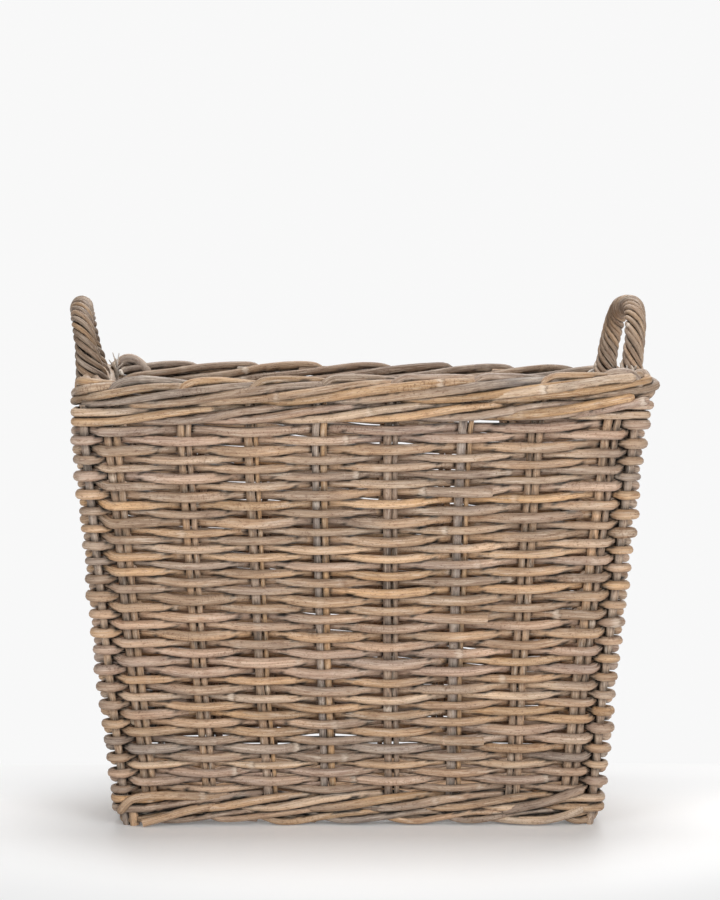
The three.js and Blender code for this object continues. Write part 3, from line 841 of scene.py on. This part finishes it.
# Course of one cane of a border: (spans on, out, rise) from its own stake, with out and rise in millimetres.
# At the rim it hooks up at the front of the top, runs along the top, goes down inside and under, comes up
# outside, and ends under the tops of those that follow. At the foot it comes from behind, bulges down and
# rises under the wale.
RIM_COURSE = (
    (-0.24, 1, -6), (-0.1, 5, -1), (-0.01, 6, 5.2), (0.1, 4, 10.2), (0.4, 1.8, 11.4),
    (0.95, -5.6, 7.2), (1.45, -8.8, 1), (2, -9.8, -4), (2.6, -7, -9.5), (3.1, -0.5, -11),
    (3.5, 7, -9.8), (4.1, 10.2, -6), (4.8, 10.8, 0.2), (5.5, 7.8, 5.8), (6, 3.5, 6.6),
    (6.35, -1.5, 4),
)
RIM_CANE_RADIUS = 0.0047
# Painted shade: the colours of the rim canes are darkened by this, in place of less light on the rim
RIM_SHADE_TONE = 0.75
FOOT_COURSE = (
    (-0.5, -3, 3), (-0.15, 2, 0.2), (0.12, 6, -4), (0.42, 7, -4.2), (0.85, 7.2, -0.4),
    (1.3, 6.2, 3.4), (1.75, 3, 4.6), (2.25, -2.5, 4), (2.75, -5.6, 1), (3.25, -5.6, -3.2),
    (3.75, -1.5, -4.2),
)
FOOT_CANE_RADIUS = 0.004
FOOT_CLEAR = 0.0024  # how far the foot border stands off the floor between the corners
# Painted shade: the colours of the foot canes are darkened by this, for the shade near the floor
FOOT_SHADE_TONE = 0.84
COURSE_SPANS = 8  # more than the spans of the longest course
BORDER_MIX = {"tan": 0.36, "taupe": 0.19, "pink": 0.13, "grey": 0.05, "light": 0.07, "golden": 0.2}
# Painted shade: darker colours for the border canes at the back, for the shade on the inner side of the back
# rim
BACK_SHADE_MIX = {"taupe": 0.4, "brown": 0.3, "grey": 0.15, "tan": 0.15}


def border_starts(ring):
    """Where each pair stands along the ring."""
    return np.array([ring.find(wall.point(wall.pair_along(index, ring.z), 0, ring.z))
                     for wall, index in STATIONS if index is not None])


# A cane of the rim stands up in a knob where it bends round the back left corner, and in a lower one at the
# front right: points as (on, out, rise) in millimetres
KNOB = ((-38, -6, 2), (-29, -3.5, 11.5), (-19, -0.5, 16.8), (-10, 2, 15), (-5, 3.5, 7), (-3, 3, -3))
KNOB_RADIUS = 0.006
KNOB_MIX = {"grey": 0.5, "taupe": 0.5}
KNOB_STEP = 0.004
KNOB_NECK = 0.01  # the part of a knob above this rise is lower at the front right


def add_knobs(bundle, ring):
    for wall, size in ((WALLS[2], 1.0), (WALLS[0], 0.45)):
        corner = ring.find(wall.point(wall.half(ring.z), 0, ring.z))
        points = [ring.point(corner + on, out, rise - max(rise - KNOB_NECK, 0) * (1 - size))
                  for on, out, rise in np.array(KNOB) / 1000]
        bundle.add(spline(points, KNOB_STEP), KNOB_RADIUS, pick_colour(KNOB_MIX), other=PALETTE["grey"])


# Cut canes at the front corners: lines of points and a radius, in millimetres, and a colour
FOOT_ENDS = (
    (((-231.5, -165.5, 1), (-232.5, -166, 11), (-234.5, -166.5, 24)), 5.2, "tan"),
    (((-223, -176, 4.8), (-203, -176.5, 10), (-180, -175.5, 16.8), (-160, -171.5, 20.5), (-140, -165, 22.5)),
     4.4, "tan"),
    (((-135, -165, 32.5), (-160, -173, 32.5), (-185, -176.5, 33.5), (-218, -178.5, 33.5), (-236, -178, 29),
      (-248, -174.5, 15)), 4.6, "tan"),
    (((150, -166, 15), (172, -174.5, 21.5), (192, -177, 26.2), (213, -177.5, 33), (233, -177, 40.5)),
     4.6, "taupe"),
    (((125, -159, 9), (148, -165, 6.8), (170, -171, 6.2), (196, -173, 7.4), (219, -173, 13.5),
      (233, -172.5, 20)), 4.3, "light"),
)
RIM_ENDS = (
    (((90, -202, 448), (115, -211, 449), (145, -217.5, 451.2), (202, -219.5, 457), (250, -218, 464),
      (277, -216, 466)), 4.8, "light"),
    (((125, -200, 429), (145, -208, 429), (168, -215.5, 430), (200, -219, 433), (238, -220.5, 439.5),
      (276, -220.5, 446.5)), 5, "golden"),
    (((220, -208, 430), (240, -214, 432.5), (265, -218.5, 437.5), (292, -218, 443)), 4.5, "pink"),
)
END_TONE = 0.92
END_STEP = 0.0018


def make_border(name, node, ring, course, radius, tone):
    starts = border_starts(ring)
    back_first = LONG_WALL_PAIRS + SHORT_WALL_PAIRS - 2
    unrolled = [starts[-1] - ring.length, *starts, *(starts[:COURSE_SPANS] + ring.length)]
    bundle = Bundle()
    for k in range(len(starts)):
        points = []
        lift = rng.normal(0, 0.0005)
        for spans, out, rise in course:
            s = np.interp(k + spans, np.arange(len(unrolled)) - 1, unrolled)
            out, rise = out / 1000 + rng.normal(0, 0.0007), rise / 1000 + lift + rng.normal(0, 0.0006)
            place = ring.point(s, out, rise)
            place[2] = max(place[2] + (FOOT_CLEAR if node == "foot_border" else 0), radius * 1.1)
            points.append(place)
        # Painted shade: canes at the back take the darker back colours
        at_back = back_first <= k < back_first + LONG_WALL_PAIRS + 2
        mix = BACK_SHADE_MIX if at_back else BORDER_MIX
        # The tone darkens every cane of the border: painted shade
        colour, other = pick_colour(mix) * tone, pick_colour(mix) * tone
        bundle.add(spline(points, CANE_STEP), radius * rng.uniform(0.86, 1.12), colour, other=other)
    if node == "rim_border":
        add_knobs(bundle, ring)
    for points, size, shade in RIM_ENDS if node == "rim_border" else FOOT_ENDS:
        colour = np.array(PALETTE[shade]) * END_TONE
        path = spline(np.array(points) / 1000, END_STEP)
        from_end = np.arange(len(path))[::-1] * END_STEP
        rounded = np.sqrt(1 - (1 - np.clip(from_end * 1000 / size, 0.12, 1)) ** 2)
        bundle.add(path, size / 1000 * rounded, colour, other=colour, round_ends=False)
    bundle.build(name, "border_rattan", node)


# Handles: canes laid round the line of the arch. Each side leans out and turns by its own amount, and the one
# on the right stands a little further in.
HANDLE_SPREAD = 0.152
HANDLE_CANES = 7
HANDLE_LAY = 0.064
HANDLE_RADIUS = 0.0114
HANDLE_CANE_RADIUS = 0.003
HANDLE_SINK = 0.0015
HANDLE_SQUARE = 0.67  # below 1 the arch is squarer than half an ellipse
HANDLE_STEPS = 110
HANDLE_FAN_WIDE, HANDLE_FAN_DEEP = 1.1, 0.85
HANDLE_CORE = 0.0052
HANDLE_MIX = {"taupe": 0.4, "tan": 0.28, "light": 0.08, "golden": 0.12, "grey": 0.12}
# For each wall: rise, lean and turn in degrees, how far out the foot stands, the tone of its canes (painted
# shade: both handles are darkened, the left one more), how thick it is, and how high above the rim its canes
# begin to spread
HANDLE_STANCE = {
    "right": (0.0841, 8.0, 4.4, -0.006, 0.78, 1.0, 0.026),
    "left": (0.0836, 9.3, 2.8, 0.0038, 0.54, 1.08, 0.044),
}


def make_handles():
    for wall in (WALLS[1], WALLS[3]):
        rise_to, lean, turn, foot_out, tone, thick, fan_height = HANDLE_STANCE[wall.name]
        centre = wall.point(0, foot_out, RIM_Z)
        angles = np.linspace(0, pi, 241)
        across = -np.sign(np.cos(angles)) * abs(np.cos(angles)) ** HANDLE_SQUARE
        rises = rise_to * np.sin(angles) ** HANDLE_SQUARE
        arch = np.stack([np.zeros_like(angles), HANDLE_SPREAD / 2 * across, rises], -1)
        arch = arch[rises > HANDLE_SINK]
        along = lengths_along(arch)
        line = find_along(np.linspace(0, along[-1], HANDLE_STEPS), along, arch)
        turning = Matrix.Rotation(radians(turn), 3, "Z")
        leaning = Matrix.Rotation(wall.out[0] * radians(lean), 3, "Y")
        stance = np.array(turning @ leaning)
        steps = lengths_along(line)
        side = np.broadcast_to(np.array([1.0, 0, 0]), line.shape)
        up = np.cross(unit(np.gradient(line, axis=0)), side)
        fan = np.clip(1 - np.clip(line[:, 2], 0, 1) / fan_height, 0, 1) ** 1.5
        bundle = Bundle()
        for strand in range(HANDLE_CANES):
            radius = HANDLE_CANE_RADIUS * thick * rng.uniform(0.92, 1.08)
            loose = wander(len(line), 14, 0.0003)
            turns = (strand + rng.uniform(-0.08, 0.08)) / HANDLE_CANES - steps / HANDLE_LAY
            spin = turns * 2 * pi
            reach = HANDLE_RADIUS * thick - radius + loose
            wide = up * (np.sin(spin) * reach * (1 + HANDLE_FAN_WIDE * fan))[:, None]
            deep = side * (np.cos(spin) * reach * (1 + HANDLE_FAN_DEEP * fan))[:, None]
            path = (line + deep + wide) @ stance.T + centre
            # The tone darkens the handle canes: painted shade
            colour, other = pick_colour(HANDLE_MIX) * tone, pick_colour(HANDLE_MIX) * tone
            bundle.add(path, radius, colour, 12, (0, 0.3, 1), other=other)
        core = line[4:-4] @ stance.T + centre
        brown = np.array(PALETTE["brown"])
        bundle.add(core, HANDLE_CORE, brown * 0.6, 8, (0, 0.3, 1), nodes=False, other=brown)
        for place, count, length, radius in FRAYS[wall.name]:
            for _ in range(count):
                add_fray(bundle, np.array(place), length, radius)
        bundle.build(f"handle_canes_{wall.name}", "handle_rattan", f"handle_{wall.name}")


# Torn strips beside the feet of the handles: where, how many, how long and how thick
FRAYS = {
    "left": (((-0.2785, 0.12, 0.458), 5, 0.017, 0.0046), ((-0.273, 0.126, 0.462), 6, 0.014, 0.0015),
             ((-0.281, -0.08, 0.467), 9, 0.008, 0.0026)),
    "right": (((0.262, 0.07, 0.462), 4, 0.011, 0.0026), ((0.284, -0.092, 0.467), 7, 0.01, 0.0026)),
}
FRAY_COLOUR = (0.7, 0.64, 0.57)


def add_fray(bundle, place, length, radius):
    """A thin torn strip that curls up from a place on a cane."""
    way = rng.normal(0, 1, 3)
    way[2] = abs(way[2]) + 0.8
    way /= norm(way)
    start = place + rng.normal(0, 0.0042, 3) * (1, 1.4, 0.15)
    curl = rng.normal(0, 0.35, 3)
    part = np.linspace(0, 1, 9)[:, None]
    points = start + (way * part + curl * part ** 2) * length * rng.uniform(0.6, 1.2)
    bundle.add(points, radius * (1.15 - 0.8 * part[:, 0]), np.array(FRAY_COLOUR) * rng.uniform(0.75, 1.1), 6,
               (1, 0, 0), 0.4, nodes=False, other=FRAY_COLOUR)


# Base: the same frame of thick canes with cross sticks, and one cane woven to and fro
STICK_RADIUS = 0.0045
CROSS_STICKS = 3
BASE_ROW_PITCH = 0.0096
BASE_SLACK = 0.0001
BASE_WIDER = 0.0045  # the worn walls stand this much further out than the solids
BASE_DEEPER = 0.0035
STICK_END = 0.011  # how far the sticks run on into the wall
STICK_STEPS = 40
BASE_CANE_STEP = 0.0055
BASE_THICKNESS = (1.0, 1.07)


def make_base():
    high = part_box("base_frame")[1]
    z = middle_height("base_frame")
    wide = high[0] - STICK_RADIUS + BASE_WIDER
    deep = high[1] - STICK_RADIUS + BASE_DEEPER
    bundle = Bundle()
    long, across = wide + STICK_END, deep + STICK_END
    sticks = [-wide + 2 * wide * i / (CROSS_STICKS + 1) for i in range(CROSS_STICKS + 2)]
    lines = [((-long, -deep), (long, -deep)), ((wide, -deep), (wide, deep)), ((long, deep), (-long, deep)),
             ((-wide, deep), (-wide, -deep)), *(((x, -across), (x, across)) for x in sticks[1:-1])]
    for a, b in lines:
        part = np.linspace(0, 1, STICK_STEPS)[:, None]
        line = np.array([*a, z]) * (1 - part) + np.array([*b, z]) * part
        line[:, :2] += wander(STICK_STEPS, 8, 0.0003)[:, None]
        bundle.add(line, STICK_RADIUS, pick_colour(STAKE_MIX), 10)
    bundle.build("base_sticks", "base_rattan", "base_frame")

    weave_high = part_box("base_weave")[1]
    inside = weave_high[1] - STICK_RADIUS + BASE_DEEPER
    rows = 1 + round(2 * inside / BASE_ROW_PITCH)
    lift = 2 * STICK_RADIUS + BASE_SLACK
    end_x = weave_high[0] - STICK_RADIUS + BASE_WIDER
    points = []
    for row in range(rows):
        way = 1 if row % 2 == 0 else -1
        first = -1 if row % 2 == 1 and len(sticks) % 2 == 1 else 1
        y = -inside + 2 * inside * row / (rows - 1)
        for i, x in enumerate(sticks):
            over = first * (1 if i % 2 == 0 else -1)
            points.append(np.array([way * x, y + rng.normal(0, 0.0002), z + over * lift]))
        if row < rows - 1:
            points.append(np.array([way * end_x, y + inside / (rows - 1), z]))
    bundle = Bundle()
    cuts = [0]
    while cuts[-1] < len(points) - 1:
        cuts.append(min(cuts[-1] + int(rng.integers(14, 30)), len(points) - 1))
    for a, b in zip(cuts, cuts[1:]):
        if b - a >= 2:
            radius = STICK_RADIUS * rng.uniform(*BASE_THICKNESS)
            bundle.add(spline(points[a:b + 1], BASE_CANE_STEP), radius, pick_colour())
    bundle.build("base_cane", "base_rattan", "base_weave")


make_weave()
make_stakes()
make_wale("foot_wale", FOOT_WALE_Z)
make_wale("rim_wale", RIM_WALE_Z)
make_border("rim_canes", "rim_border", Ring(RIM_Z), RIM_COURSE, RIM_CANE_RADIUS, RIM_SHADE_TONE)
make_border("foot_canes", "foot_border", Ring(FOOT_Z), FOOT_COURSE, FOOT_CANE_RADIUS, FOOT_SHADE_TONE)
make_handles()
make_base()
crowd = Crowd([bundle for bundle, *_ in BUNDLES])
for bundle, name, slot, nodes in BUNDLES:
    bundle.finish(name, slot, nodes, crowd)


# Floor, light and camera. The camera sees the white of the backdrop, and the daylight gives light.
BACKDROP = 0.94
DAYLIGHT = 0.1


def seen_directly(n):
    """1 for what the camera sees, straight or by way of clear or shiny things, and 0 for what gives light."""
    path = n.new("LightPath")
    seen = n.math("MAXIMUM", path.outputs["Is Camera Ray"], path.outputs["Is Glossy Ray"])
    return n.math("MAXIMUM", seen, path.outputs["Is Transmission Ray"])


# Towards the back the floor runs over into the white backdrop: most of the way between the first two places,
# and the rest between the last two. It does so too on every side at a distance, from near to far.
FLOOR_FADE, FLOOR_FADED = -0.1, 0.12
FLOOR_END, BACKDROP_START = 0.215, 0.245
FLOOR_FIRST = 0.68
FLOOR_NEAR, FLOOR_FAR, FLOOR_GONE = 0.36, 0.64, 1.2
FLOOR_WHITE = 0.86  # of the faded floor, up to where it ends
FLOOR_GLOW = 0.13
FLOOR_HALF = 4
WHITE = (1, 1, 1, 1)


def make_floor():
    mesh = bpy.data.meshes.new("floor")
    corners = [(x * FLOOR_HALF, y * FLOOR_HALF, 0) for x, y in ((-1, -1), (1, -1), (1, 1), (-1, 1))]
    mesh.from_pydata(corners, [], [(0, 1, 2, 3)])
    material = bpy.data.materials.new("floor_white")
    n = Nodes(material)
    paint = n.new("BsdfPrincipled", {"Base Color": (0.92, 0.92, 0.92, 1), "Roughness": 0.6})
    seen = seen_directly(n)
    glow = n.new("Emission", {"Color": WHITE, "Strength": n.times(seen, FLOOR_GLOW)})
    paint = n.new("AddShader", {0: paint.outputs[0], 1: glow.outputs[0]})
    position = n.new("NewGeometry").outputs["Position"]
    place = n.new("SeparateXYZ", {0: position}).outputs[1]
    away = n.new("VectorMath", {0: position}, operation="LENGTH").outputs["Value"]
    end = n.ramp(place, FLOOR_END, BACKDROP_START)
    gone = n.math("MAXIMUM", end, n.ramp(away, FLOOR_FAR, FLOOR_GONE))
    level = n.math("ADD", n.times(gone, BACKDROP - FLOOR_WHITE), FLOOR_WHITE)
    white = n.new("Emission", {"Color": WHITE, "Strength": level})
    first = n.ramp(place, FLOOR_FADE, FLOOR_FADED, 0.0, FLOOR_FIRST)
    faded = n.math("ADD", first, n.times(end, 1 - FLOOR_FIRST))
    shown = n.times(n.math("MAXIMUM", faded, n.ramp(away, FLOOR_NEAR, FLOOR_FAR)), seen)
    mixed = n.new("MixShader", {0: shown, 1: paint.outputs[0], 2: white.outputs[0]})
    n.new("OutputMaterial", {"Surface": mixed.outputs[0]})
    mesh.materials.append(material)
    floor = add_object("floor", mesh)


def make_light(name, place, target_height, size, watts):
    data = bpy.data.lights.new(name, "AREA")
    data.size = size
    data.energy = watts
    light = add_object(name, data)
    light.location = place
    way = Vector((0, 0, target_height)) - Vector(place)
    light.rotation_euler = way.to_track_quat("-Z", "Y").to_euler()


def make_world():
    world = bpy.data.worlds.new("studio")
    scene.world = world
    n = Nodes(world)
    level = n.ramp(seen_directly(n), 0.0, 1.0, DAYLIGHT, BACKDROP)
    background = n.new("Background", {"Color": WHITE, "Strength": level})
    n.new("OutputWorld", {"Surface": background.outputs[0]})


DISTANCE = 3.226
AZIMUTH = radians(-1.2)
CAMERA_HEIGHT = 0.561
PITCH = radians(3.11)
ROLL = radians(0.15)
LENS = 117.6


def make_camera():
    data = bpy.data.cameras.new("camera")
    data.lens = LENS
    data.sensor_width = 36
    camera = add_object("camera", data)
    x = math.sin(AZIMUTH) * DISTANCE
    y = -math.cos(AZIMUTH) * DISTANCE
    place = Matrix.Translation((x, y, CAMERA_HEIGHT))
    turn = Matrix.Rotation(AZIMUTH, 4, "Z") @ Matrix.Rotation(pi / 2 - PITCH, 4, "X")
    camera.matrix_world = place @ turn @ Matrix.Rotation(ROLL, 4, "Z")
    scene.camera = camera


make_floor()
make_world()
make_light("key", (1.4, -2.8, 0.95), 0.25, 1.6, 61)
make_light("fill", (-1.8, -2.5, 0.9), 0.25, 1.6, 32)
make_light("top", (0, 0.45, 2.4), 0.2, 1.4, 46)
make_light("rear", (0.7, 2.6, 1.9), 0.25, 2.2, 30)
make_camera()

scene.view_settings.view_transform = "Standard"
